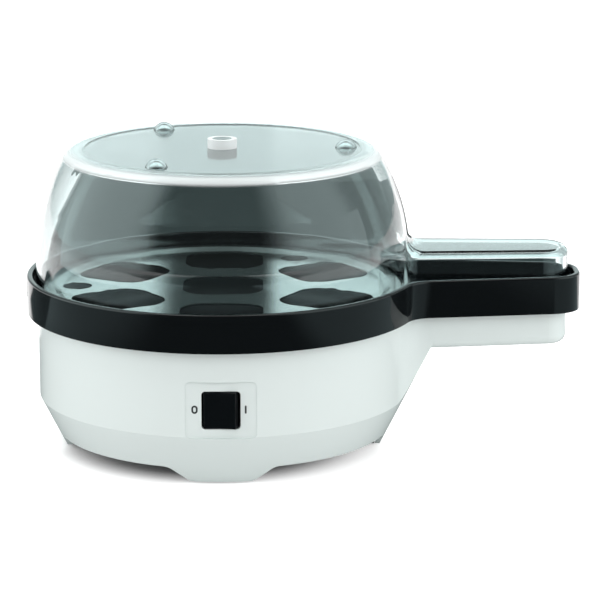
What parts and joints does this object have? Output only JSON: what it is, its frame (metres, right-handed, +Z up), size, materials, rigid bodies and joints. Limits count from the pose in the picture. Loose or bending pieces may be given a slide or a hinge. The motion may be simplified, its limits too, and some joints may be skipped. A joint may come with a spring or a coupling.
{
  "type": "electric egg cooker",
  "caption": "Round white egg cooker with a black ring and side handle, clear domed lid, metal egg tray, heated bowl and a front rocker switch.",
  "frame": {"origin": "middle of the footprint's bounding box, on the surface the feet stand on", "axes": "+Z up, +X from the bowl towards the handle, -Y towards the rocker switch"},
  "size_m": [0.2682, 0.19, 0.1497],
  "materials": {
    "white_plastic": "gloss",
    "black_plastic": "gloss",
    "dark_plastic": "matte",
    "clear_plastic": "clear",
    "tray_metal": "satin",
    "bowl_steel": "satin",
    "silicone": "matte",
    "rubber": "matte",
    "zinc_steel": "satin",
    "cast_aluminium": "cast",
    "element_sheath": "dark",
    "thermostat_ceramic": "matte",
    "fuse_case": "matte",
    "terminal_brass": "satin",
    "block_plastic": "matte",
    "wire_cover": "matte"
  },
  "bodies": {
    "base": {"base_housing": "white_plastic", "bottom_cover": "dark_plastic", "rubber_feet": "rubber", "case_screws": "zinc_steel", "collar": "black_plastic", "bowl_seal": "silicone", "heating_bowl": "bowl_steel", "bowl_straps": "zinc_steel", "small_screws": "zinc_steel", "element_plate": "cast_aluminium", "heating_element": "element_sheath", "element_terminals": "zinc_steel", "thermostat": "thermostat_ceramic", "thermostat_bracket": "zinc_steel", "thermal_fuse": "fuse_case", "fuse_clip": "zinc_steel", "switch_housing": "dark_plastic", "switch_terminals": "terminal_brass", "terminal_block": "block_plastic", "cord_inlet": "rubber", "live_wire": "wire_cover", "switched_wire": "wire_cover", "return_wire": "wire_cover", "neutral_wire": "wire_cover"},
    "rocker": {"switch_rocker": "black_plastic"},
    "tray": {"egg_tray": "tray_metal"},
    "lid": {"lid": "clear_plastic"}
  },
  "joints": [
    {"name": "rocker_tilt", "type": "hinge", "parent": "base", "child": "rocker", "pos_m": [-0.03915, -0.0835, 0.0385], "axis": [0, 0, 1], "range_deg": [0, 14]},
    {"name": "tray_lift", "type": "slide", "parent": "base", "child": "tray", "axis": [0, 0, 1], "range_m": [0, 0.06]},
    {"name": "lid_lift", "type": "slide", "parent": "tray", "child": "lid", "axis": [0, 0, 1], "range_m": [0, 0.1]}
  ]
}
